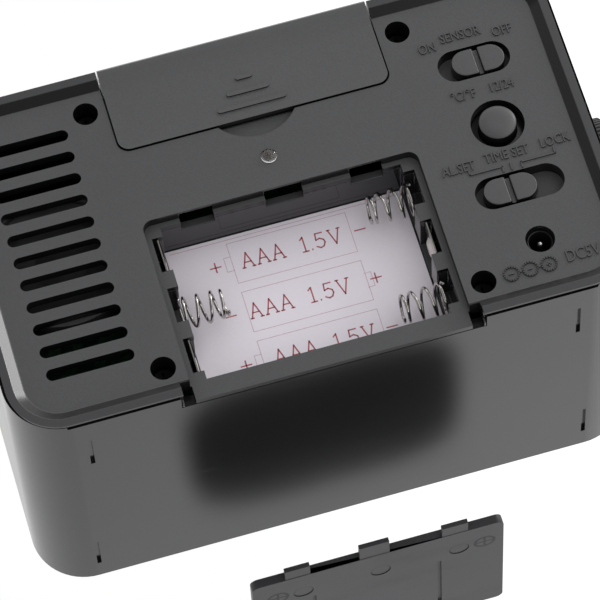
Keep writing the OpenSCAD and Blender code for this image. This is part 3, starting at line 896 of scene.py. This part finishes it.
@dataclass
class RearPanel:
    """Rear cover with its raised lettering and the case screws."""

    ease: float = 0.18 * MM
    sunk: float = 0.01 * MM
    letter_rise: float = 0.27 * MM
    letter: float = 2.1 * MM
    squeeze: float = 0.74
    line: float = 0.25 * MM
    ring: float = 1.4
    ring_xs: tuple[float, ...] = (-35.6, -39.2, -42.8)
    ring_z: float = 7.0

    def build(self) -> None:
        """Copies the cover and adds what is moulded on it."""
        self.panel_y = float(node_box("rear_cover")[1][1] - PANEL_RISE)
        rim = CoverRim("rear_cover_black", panel_y=self.panel_y).material()
        dress(eased_copy("rear_cover", self.ease, "rear_panel"), rim, "clock")
        dress_nodes(case_screws=Finish.SCREW)
        self.letters()
        self.marks()

    def letters(self) -> None:
        """The words beside the controls: text, middle x, middle z and size against the usual letter."""
        words = (("ON", -34.6, 57.1, 1.0), ("SENSOR", -41.3, 58.3, 1.0), ("OFF", -49.1, 57.0, 1.0),
                 ("°C/°F", -38.1, 45.4, 1.0), ("12/24", -45.5, 45.6, 1.0),
                 ("AL.SET", -32.7, 30.7, 1.0), ("TIME SET", -42.1, 31.2, 1.0), ("LOCK", -51.5, 31.5, 1.0),
                 ("DC5V", -49.4, 7.4, 1.2))
        placed = [(text, x * MM, z * MM, self.letter * size) for text, x, z, size in words]
        piece = lettering("control_lettering", placed, self.panel_y - self.sunk, self.letter_rise,
                          self.squeeze)
        dress(piece, Finish.LETTERS, "clock")

    def marks(self) -> None:
        """Pointer lines above the lower slider and the three polarity rings of the inlet."""
        bars = [(-34.4, 28.9, -40.6, 28.9), (-34.4, 28.9, -34.4, 29.8), (-40.6, 28.9, -40.6, 27.8),
                (-42.2, 29.3, -42.2, 27.8), (-44.2, 28.9, -50.8, 28.9), (-50.8, 28.9, -50.8, 30.2),
                (-44.2, 28.9, -44.2, 27.8)]
        turn = np.linspace(0.0, 2.0 * np.pi, 19)
        for x in self.ring_xs:
            ring = np.stack([x + self.ring * np.cos(turn), self.ring_z + self.ring * np.sin(turn)], -1)
            bars += np.concatenate([ring[:-1], ring[1:]], 1).tolist()
        signs = ((-35.2, -36.0), (-36.9, -37.9), (-38.9, -39.5), (-40.5, -41.5), (-42.4, -43.2))
        bars += [(a, self.ring_z, b, self.ring_z) for a, b in signs]
        bars.append((self.ring_xs[-1], self.ring_z + 0.4, self.ring_xs[-1], self.ring_z - 0.4))
        piece = strokes("control_marks", np.array(bars) * MM, self.line, self.panel_y - self.sunk,
                        self.letter_rise)
        dress(piece, Finish.LETTERS, "clock")


@dataclass
class Hatch:
    """Rear hatch with its grip ribs, its hinge pin and the lens below it."""

    ease: float = 0.18 * MM
    crown: float = 0.9 * MM

    def build(self) -> None:
        """Copies the hatch and turns the sensor's dome, whose top is a quarter ellipse."""
        dress(eased_copy("rear_hatch", self.ease), Finish.HATCH, "rear_hatch")
        dress_nodes(hinge_pin=Finish.BRIGHT, light_sensor=Finish.CHIP)
        size = RoundNode("sensor_lens")
        r, h = size.radius, size.high - size.low
        t = np.linspace(0.0, math.pi / 2, 12)[:-1]
        dome = [(r * math.cos(a), h - self.crown + self.crown * math.sin(a)) for a in t]
        lens = lathe("sensor_dome", [(0.0, 0.0), (r, 0.0)] + dome + [(0.0, h)], size.at(size.low), sides=48)
        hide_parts("sensor_lens")
        dress(lens, Finish.LENS, "clock")


@dataclass
class Controls:
    """The two sliders, the round button and the switches behind them."""

    ease: float = 0.28 * MM
    neck: float = 3.55 * MM
    crown: float = 0.7 * MM
    flange_back: float = 1.6 * MM
    flange_front: float = 0.5 * MM

    def build(self) -> None:
        """Copies the sliders and turns the button."""
        for node in ("light_slider", "set_slider"):
            dress(eased_copy(node, self.ease), Finish.CONTROL, node)
        self.button()
        dress_nodes(light_switch=Finish.CAN, set_switch=Finish.CAN, mode_switch=Finish.SWITCH,
                    control_board=Finish.BOARD)

    def button(self) -> None:
        """The round button: a flange inside, a straight neck and a softly crowned head.

        With a from 0 to 1 over the head, its radius is the neck's less a tenth of a, times the root of the
        cosine of a quarter turn times a, and its height follows the sine.
        """
        size = RoundNode("mode_button")
        neck, seat = self.neck, size.high - self.crown
        head = [(neck * (1 - 0.10 * a) * math.cos(a * math.pi / 2) ** 0.5,
                 seat + self.crown * math.sin(a * math.pi / 2)) for a in np.linspace(0.0, 1.0, 14)[1:-1]]
        panel_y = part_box("rear_cover")[1][1] - PANEL_RISE
        back, front = (panel_y - PANEL_THICK - gap for gap in (self.flange_back, self.flange_front))
        body = eased_profile([(0.0, size.low), (neck, size.low), (neck, back), (size.radius, back),
                              (size.radius, front), (neck, front), (neck, seat)], 0.2 * MM)
        piece = lathe("mode_button_turned", body + head + [(0.0, size.high)], size.at(0.0), sides=72)
        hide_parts("mode_button")
        sunk = SunkPlastic("button_black", Finish.CONTROL.value.colour, roughness=0.42, grain=0.25,
                           panel_y=panel_y)
        dress(piece, sunk.material(), "mode_button")


@dataclass
class BatteryBay:
    """Tray, label, three springs and three flat contacts."""

    wire: float = 0.30 * MM
    turns: float = 4.7
    closed: tuple[float, float] = (0.20, 0.76)
    sheet: float = 0.3 * MM
    dimple: float = 0.5 * MM
    row_pitch: float = 10.6 * MM
    first_row_z: float = 30.1 * MM
    letter: float = 3.1 * MM
    arm: float = 1.0 * MM
    sign_x: tuple[float, float] = (14.6 * MM, -13.3 * MM)
    rows: tuple[tuple[float, int], ...] = ((9.75, 1), (11.15, -1), (9.35, 1))

    def build(self) -> None:
        """Builds everything in the bay."""
        dress(eased_copy("battery_tray", 0.2 * MM), Finish.TRAY, "clock")
        dress_nodes(battery_label=Finish.LABEL)
        self.print_y = float(node_box("battery_label")[1][1]) - 0.005 * MM
        for row in ("top", "middle", "bottom"):
            self.spring("spring_" + row)
        for row in ("top", "middle", "bottom"):
            self.contact("contact_" + row)
        self.words()
        self.outlines()

    def spring(self, node: str) -> None:
        """A conical spring, closed at both ends.

        With t from 0 to 1 the wire is at angle 2 pi turns t, on a radius that shrinks from the base to the
        tip, and its advance is slow over the first and the last part so that the end turns lie together.
        """
        low, high = node_box(node)
        centre = (low + high) / 2
        base_r = float(high[2] - low[2]) / 2 - self.wire
        length = float(high[0] - low[0]) - 2 * self.wire
        t = np.linspace(0.0, 1.0, 260)
        first, last = self.closed
        advance = length * (0.08 * np.minimum(t / first, 1.0)
                            + 0.79 * np.clip((t - first) / (last - first), 0.0, 1.0)
                            + 0.13 * np.clip((t - last) / (1.0 - last), 0.0, 1.0))
        radius = base_r * (1.0 - 0.20 * t ** 1.4)
        angle = 2.0 * np.pi * self.turns * t + 0.6
        x = high[0] - self.wire - advance if centre[0] > 0 else low[0] + self.wire + advance
        path = np.stack([x, centre[1] + radius * np.cos(angle), centre[2] + radius * np.sin(angle)], -1)
        piece = tube(node + "_wound", path, self.wire, (1.0, 0.0, 0.0), 12)
        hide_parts(node)
        dress(piece, Finish.SPRING, "clock")

    def contact(self, node: str) -> None:
        """A flat contact with a pressed dimple.

        Over the plate's own (p, q) the height is a smooth bump, one minus the smooth step of the distance
        from the middle between 1.1 and 2.3 mm, and the back is the same surface 0.25 mm behind.
        """
        low, high = node_box(node)
        centre, half = (low + high) / 2, (high - low) / 2
        inward, back = (-1.0, high[0]) if centre[0] > 0 else (1.0, low[0])
        n = 33
        p, q = np.meshgrid(np.linspace(-1, 1, n), np.linspace(-1, 1, n), indexing="ij")
        y, z = p * half[1], q * half[2]
        step = np.clip((np.hypot(y, z) - 1.1 * MM) / (1.2 * MM), 0.0, 1.0)
        bump = self.dimple * (1.0 - step * step * (3.0 - 2.0 * step))
        top = np.stack([back + inward * (self.sheet + bump), centre[1] + y, centre[2] + z], -1).reshape(-1, 3)
        under = top - np.array([inward * 0.25 * MM, 0.0, 0.0])
        quads = grid_quads(n, n, False)
        ring = np.concatenate([np.arange(n), np.arange(2 * n - 1, n * n, n),
                               np.arange(n * n - 2, n * n - n - 1, -1), np.arange(n * n - 2 * n, 0, -n)])
        turn = np.roll(ring, -1)
        edge = np.stack([ring, turn, turn + n * n, ring + n * n], -1)
        piece = mesh_from(node + "_pressed", np.concatenate([top, under]),
                          np.concatenate([quads, quads[:, ::-1] + n * n, edge]), 50.0)
        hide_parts(node)
        dress(piece, Finish.CONTACT, "clock")

    def words(self) -> None:
        """Cell size, voltage and polarity of the three rows, in slab-ended letters made of bars.

        A glyph is its step to the next letter and its bars in a box one high, with x to the right.
        """
        letter_a = [(0.08, 0, 0.40, 1), (0.40, 1, 0.72, 0), (0.2, 0.36, 0.6, 0.36), (0, 0, 0.18, 0),
                    (0.62, 0, 0.80, 0)]
        glyphs = ((0.95, letter_a), (0.95, letter_a), (1.74, letter_a),
                  (0.62, [(0.3, 0, 0.3, 1), (0.3, 1, 0.12, 0.84), (0.12, 0, 0.48, 0)]),
                  (0.34, [(0.1, 0, 0.1, 0.05)]),
                  (0.88, [(0.56, 1, 0.14, 1), (0.14, 1, 0.1, 0.56), (0.1, 0.56, 0.34, 0.64),
                          (0.34, 0.64, 0.56, 0.5), (0.56, 0.5, 0.6, 0.3), (0.6, 0.3, 0.48, 0.07),
                          (0.48, 0.07, 0.28, 0), (0.28, 0, 0.06, 0.13)]),
                  (0.9, [(0.06, 1, 0.38, 0), (0.38, 0, 0.70, 1), (0, 1, 0.16, 1), (0.6, 1, 0.78, 1)]))
        bars: list[Bar] = []
        size, arm = self.letter, self.arm
        for row, (left, sign) in enumerate(self.rows):
            base, x = self.first_row_z - row * self.row_pitch - size / 2, left * MM
            for step, glyph in glyphs:
                bars += [(x - a * size, base + b * size, x - c * size, base + d * size)
                         for a, b, c, d in glyph]
                x -= step * size
            z = base + size / 2
            plus, minus = self.sign_x[::sign]
            bars += [(plus - arm, z, plus + arm, z), (plus, z - arm, plus, z + arm),
                     (minus - arm, z, minus + arm, z)]
        piece = strokes("label_words", bars, 0.27 * MM, self.print_y, 0.02 * MM)
        dress(piece, Finish.RED_INK, "clock")

    def outlines(self) -> None:
        """Fine cell outlines with a stepped terminal at the plus end, and the label's border."""
        bars = [(22.0, 35.2, -22.0, 35.2)]
        for row, (_, sign) in enumerate(self.rows):
            mid = (self.first_row_z - row * self.row_pitch) / MM
            end, tip = 11.4 * sign, 12.7 * sign
            bars += [(-11.6, mid - 4.3, 11.4, mid - 4.3), (-11.6, mid + 4.3, 11.4, mid + 4.3),
                     (-11.6, mid - 4.3, -11.6, mid + 4.3), (11.4, mid - 4.3, 11.4, mid + 4.3),
                     (end, mid - 1.5, tip, mid - 1.5), (end, mid + 1.5, tip, mid + 1.5),
                     (tip, mid - 1.5, tip, mid + 1.5)]
        piece = strokes("label_outlines", np.array(bars) * MM, 0.1 * MM, self.print_y, 0.015 * MM)
        dress(piece, Finish.FINE_INK, "clock")


@dataclass
class PowerInlet:
    """The DC inlet and its centre pin."""

    ease: float = 0.15 * MM

    def build(self) -> None:
        """Copies the socket and turns the pin, which ends in a half ball."""
        dress(eased_copy("power_socket", self.ease), Finish.SOCKET, "clock")
        size = RoundNode("socket_pin")
        r = size.radius
        tip = [(r * math.cos(a), size.high - r + r * math.sin(a))
               for a in np.linspace(0.0, math.pi / 2, 9)[:-1]]
        pin = lathe("socket_pin_turned", [(0.0, size.low), (r, size.low)] + tip + [(0.0, size.high)],
                    size.at(0.0), sides=32)
        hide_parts("socket_pin")
        dress(pin, Finish.BRIGHT, "clock")


@dataclass
class Speaker:
    """Speaker behind the slots."""

    film: float = 0.35 * MM
    roll: float = 0.25 * MM
    cap: float = 0.9 * MM

    def build(self) -> None:
        """Dresses the frame and magnet, and turns a rolled cone.

        Over s from the middle to the edge the height is a bowl, less a squared sine for the roll near the
        edge, plus a parabola for the cap in the middle.
        """
        dress_nodes(speaker_frame=Finish.SPEAKER, speaker_magnet=Finish.CAN)
        size = RoundNode("speaker_cone")
        deep = size.high - size.low
        s = np.linspace(0.0, 1.0, 40)
        bowl = -(deep - 0.5 * MM) * np.clip((1.0 - s) / 0.62, 0.0, 1.0) ** 1.2
        roll = -self.roll * np.sin(np.clip((s - 0.72) / 0.28, 0, 1) * math.pi) ** 2
        cap = self.cap * np.clip(1.0 - (s / 0.38) ** 2, 0.0, 1.0)
        front = [(float(size.radius * a), float(b)) for a, b in zip(s, bowl + roll + cap)]
        rear = [(a, max(b - self.film, -deep)) for a, b in reversed(front)]
        cone = lathe("speaker_cone_rolled", front + rear, size.at(size.high))
        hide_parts("speaker_cone")
        dress(cone, Finish.CONE, "clock")


@dataclass
class LooseCover:
    """Battery cover lying inside face down, with painted shade in the marks of its ejector pins.

    A pin is its x from the middle and its y from the tabbed edge, in millimetres, and whether it is crossed.
    """

    ease: float = 0.25 * MM
    tab: float = 5.0 * MM
    pins: tuple[tuple[float, float, bool], ...] = (
        (-16.8, -7.6, False), (-0.4, -7.6, False), (15.7, -7.6, False),
        (21.0, -7.3, True), (-22.1, -7.3, True))

    def build(self) -> None:
        """Copies the cover with eased edges."""
        low, high = node_box("battery_cover")
        mid, edge = float(low[0] + high[0]) / 2, float(high[1]) - self.tab
        pins = tuple((mid + x * MM, edge + y * MM, crossed) for x, y, crossed in self.pins)
        inside = InnerFace("cover_inside_black", (0.046, 0.046, 0.049), 0.42, 0.18, 0.0004, 0.5,
                           specular=0.2, pins=pins)
        dress(eased_copy("battery_cover", self.ease), inside.material(), "battery_cover")


@dataclass
class DisplayStack:
    """Window, mask, glass with its resting segments, light guide and holder."""

    digit_h: float = 24 * MM
    digit_w: float = 12.5 * MM
    bar: float = 2.0 * MM
    gap: float = 0.18 * MM
    raised: float = 1.0 * MM
    thick: float = 0.05 * MM
    digit_x: tuple[float, ...] = (-31.0 * MM, -12.5 * MM, 9.5 * MM, 28.0 * MM)
    dots_x: float = -1.6 * MM
    dots_z: float = 4.0 * MM
    dot: float = 1.2 * MM

    def build(self) -> None:
        """Dresses the stack and adds the segments."""
        dress_nodes(display_window=Finish.WINDOW, window_mask=Finish.MASK, display_glass=Finish.GLASS,
                    light_guide=Finish.GUIDE, display_holder=Finish.HOLDER, display_connector=Finish.STRIP)
        self.segments()

    def segments(self) -> None:
        """Four digits of seven six-sided bars, with a colon, just in front of the glass.

        A bar from a to b is pointed: its corners are a, b and the points half a bar's width in from
        each end, plus and minus half the width across.
        """
        low, high = node_box("display_glass")
        mid_z = float(low[2] + high[2]) / 2 + self.raised
        w, h = self.digit_w / 2, self.digit_h / 2
        digit = np.array([(-w, h, w, h), (-w, 0, w, 0), (-w, -h, w, -h), (-w, 0, -w, h), (w, 0, w, h),
                          (-w, -h, -w, 0), (w, -h, w, 0)])
        bars = np.concatenate([digit + np.array([x, 0, x, 0]) for x in self.digit_x] + [
            [(self.dots_x - self.dot, z, self.dots_x + self.dot, z)] for z in (self.dots_z, -self.dots_z)])
        lead = bars[:, 2:] - bars[:, :2]
        lead /= np.linalg.norm(lead, axis=1, keepdims=True)
        half = self.bar / 2
        a, b = bars[:, :2] + lead * self.gap, bars[:, 2:] - lead * self.gap
        across = np.stack([-lead[:, 1], lead[:, 0]], -1) * half
        flats = np.stack([a, a + lead * half - across, b - lead * half - across, b,
                          b - lead * half + across, a + lead * half + across], 1)
        piece = prisms("display_segments", flats + np.array([0.0, mid_z]), float(low[1]), -self.thick)
        dress(piece, Finish.GHOST, "clock")


@dataclass
class Internals:
    """Main board, its screws, the covered chip and the parts under the top bar."""

    def build(self) -> None:
        """Dresses the boards and turns the resin blob, a power of a cosine wide and a sine high."""
        dress_nodes(main_board=Finish.BOARD, board_screws=Finish.BRIGHT, key_board=Finish.BOARD,
                    snooze_switch=Finish.SWITCH, dial_encoder=Finish.SWITCH)
        chip = RoundNode("clock_chip")
        h = chip.high - chip.low
        blob = [(chip.radius * math.cos(a) ** 0.8, h * math.sin(a))
                for a in np.linspace(0.0, math.pi / 2, 14)[:-1]]
        piece = lathe("chip_resin", [(0.0, 0.0)] + blob + [(0.0, h)], chip.at(chip.low), sides=48)
        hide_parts("clock_chip")
        dress(piece, Finish.RESIN, "clock")


@dataclass
class TopBar:
    """Long snooze bar in the roof."""

    ease: float = 0.6 * MM

    def build(self) -> None:
        """Copies the bar with soft edges."""
        dress(eased_copy("snooze_bar", self.ease), Finish.SNOOZE, "snooze_bar")


@dataclass
class SideDial:
    """Knurled dial on the side."""

    teeth: int = 60
    depth: float = 0.35 * MM
    shaft: float = 2.0 * MM
    dish: float = 0.8 * MM
    step: float = 0.5 * MM

    def build(self) -> None:
        """Turns the dial: a dished face, a toothed grip and a smooth collar, then the shaft."""
        low, high = node_box("side_dial")
        r, length = float(high[1] - low[1]) / 2, float(high[0] - low[0])
        centre = (float(low[0]), float(low[1] + high[1]) / 2, float(low[2] + high[2]) / 2)
        collar = float(node_box("front_housing")[0][0] - low[0]) + 0.4 * MM
        body = eased_profile([(0.0, self.dish), (r - 3.7 * MM, self.dish), (r - 3.0 * MM, 0.05 * MM),
                              (r - 1.0 * MM, 0.0), (r, self.dish), (r, collar - 1.0 * MM),
                              (r - self.step, collar - 0.7 * MM), (r - self.step, collar),
                              (self.shaft, collar), (self.shaft, length), (0.0, length)], 0.25 * MM)
        piece = lathe("side_dial_turned", body, centre, "x", self.teeth * 8, self.depth, self.teeth,
                      r - 0.45 * MM)
        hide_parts("side_dial")
        dress(piece, Finish.DIAL, "side_dial")


# ---------------------------------------------------------------- studio


@dataclass
class Studio:
    """Floor, soft light, dark cards that only gloss sees, and the camera."""

    eye: Point = (0.084255, 0.757581, -0.357825)
    right: Point = (-0.96093736, -0.0325821, -0.2748414)
    up: Point = (-0.25827705, 0.46243578, 0.84820169)
    back: Point = (0.09946031, 0.88605392, -0.45278703)
    lens: float = 270.0
    sky: tuple[float, float] = (1.22, 0.9)
    sky_x: tuple[float, float] = (-0.20, -0.02)
    floor_half: float = 3.0
    floor_z: float = -0.2 * MM
    paint: Colour = (0.93, 0.93, 0.93)
    aim: Point = (0.0, 0.0, 0.03)

    def build(self) -> None:
        """Builds the whole set."""
        self.camera()
        self.world()
        self.floor()
        self.card("camera_side_card", (0.42, 0.62, -0.02), (0.62, 0.72), "y", 0.0, 0.2)
        self.card("base_card", (-0.003, -0.046, -0.025), (0.031, 0.030), "z", 0.6, 0.02)
        self.lamp("side_softbox", (-0.8, 0.31, 0.5), 0.3, 2.6)
        self.lamp("top_softbox", (0.3, -0.3, 1.2), 0.9, 2.0)
        bpy.context.scene.view_settings.view_transform = "Standard"

    def camera(self) -> None:
        """The camera, looking up at the clock's back and base."""
        data = bpy.data.cameras.new("camera")
        data.sensor_width, data.lens, data.clip_start, data.clip_end = 36.0, self.lens, 0.01, 50.0
        eye = linked("camera", data)
        eye.rotation_mode = "QUATERNION"
        eye.rotation_quaternion = Matrix((self.right, self.up, self.back)).transposed().to_quaternion()
        eye.location = self.eye
        bpy.context.scene.camera = eye

    def world(self) -> None:
        """A white surround, a little brighter towards -X for what the clock reflects."""
        world = bpy.data.worlds.new("surround")
        world.use_nodes = True
        tree = world.node_tree
        sky = tree.nodes["Background"]
        sky.inputs["Color"].default_value = (1.0, 1.0, 1.0, 1.0)
        where, parts, slope, path, plain = (tree.nodes.new("ShaderNode" + kind) for kind in (
            "TexCoord", "SeparateXYZ", "MapRange", "LightPath", "Math"))
        for number, value in enumerate(self.sky_x + self.sky, start=1):
            slope.inputs[number].default_value = value
        plain.operation = "MAXIMUM"
        for out, into in ((where.outputs["Generated"], parts.inputs[0]),
                          (parts.outputs["X"], slope.inputs[0]), (slope.outputs[0], plain.inputs[0]),
                          (path.outputs["Is Camera Ray"], plain.inputs[1]),
                          (plain.outputs[0], sky.inputs["Strength"])):
            tree.links.new(out, into)
        bpy.context.scene.world = world

    def sheet(self, name: str, points: Array, shade: bpy.types.Material, ray: str) -> None:
        """A four-cornered stage sheet that one kind of ray sees.

        Args:
            name: the sheet's name.
            points: its corners.
            shade: its material.
            ray: the only kind of ray that sees it.
        """
        mesh = bpy.data.meshes.new(name)
        mesh.from_pydata(points.tolist(), [], [(0, 1, 2, 3)])
        mesh.materials.append(shade)
        thing = linked(name, mesh)
        for kind in ("camera", "diffuse", "glossy", "transmission", "volume_scatter", "shadow"):
            setattr(thing, "visible_" + kind, kind == ray)

    def floor(self) -> None:
        """A pale floor that is clear from below."""
        half, z = self.floor_half, self.floor_z
        r = Recipe("pale_floor")
        under = r.node("ShaderNodeNewGeometry", out="Backfacing")
        paint = r.node("ShaderNodeBsdfDiffuse", None, {"Color": rgba(self.paint)})
        clear = r.node("ShaderNodeBsdfTransparent")
        shade = r.output(r.node("ShaderNodeMixShader", None, {0: under, 1: paint, 2: clear}))
        corners = np.array([(-half, -half, z), (half, -half, z), (half, half, z), (-half, half, z)])
        self.sheet("floor", corners, shade, "camera")

    def card(self, name: str, centre: Point, half: tuple[float, float], axis: str, soft: float,
             glow: float) -> None:
        """A dark card that only reflections see, fading out towards its edge.

        Args:
            name: the card's name.
            centre: its middle.
            half: half its two sides.
            axis: "y" for an upright card, "z" for a level one.
            soft: share of the card that fades; 0 gives a crisp card.
            glow: its brightness against the surround's.
        """
        a, b = half
        flat = np.array([(-a, -b), (a, -b), (a, b), (-a, b)])
        points = np.insert(flat, 1 if axis == "y" else 2, 0.0, axis=1) + np.array(centre)
        r = Recipe(name + "_black")
        x, y, z = r.split(r.place((1.0 / a, 1.0 / b, 1.0 / b),
                                  (-centre[0] / a, -centre[1] / b, -centre[2] / b)))
        reach = (x ** 2.0) ** 2.0 + ((z if axis == "y" else y) ** 2.0) ** 2.0
        edge = reach.fade(1.0 - soft, 1.0) if soft else reach.fade(3.0, 4.0)
        dark = r.node("ShaderNodeEmission", None, {"Color": rgba((glow, glow, glow)), "Strength": 1.0})
        clear = r.node("ShaderNodeBsdfTransparent")
        shade = r.output(r.node("ShaderNodeMixShader", None, {0: edge, 1: dark, 2: clear}))
        self.sheet(name, points, shade, "glossy")

    def lamp(self, name: str, place: Point, size: float, watts: float) -> None:
        """A square soft light that looks at the clock.

        Args:
            name: the light's name.
            place: its middle.
            size: side in metres.
            watts: its power.
        """
        data = bpy.data.lights.new(name, "AREA")
        data.energy, data.size = watts, size
        lamp = linked(name, data)
        lamp.location = place
        lamp.rotation_mode = "QUATERNION"
        lamp.rotation_quaternion = (Vector(place) - Vector(self.aim)).to_track_quat("Z", "Y")


def main() -> None:
    """Builds the set and then the clock, one sub-assembly at a time."""
    logging.basicConfig(level=logging.INFO, format="%(name)s: %(message)s")
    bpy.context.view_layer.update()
    for part in (Studio(), CaseShell(), RearPanel(), Hatch(), Controls(), BatteryBay(), PowerInlet(),
                 Speaker(), LooseCover(), DisplayStack(), Internals(), TopBar(), SideDial()):
        LOG.info("building %s", type(part).__name__)
        part.build()


if __name__ == "__main__":
    main()
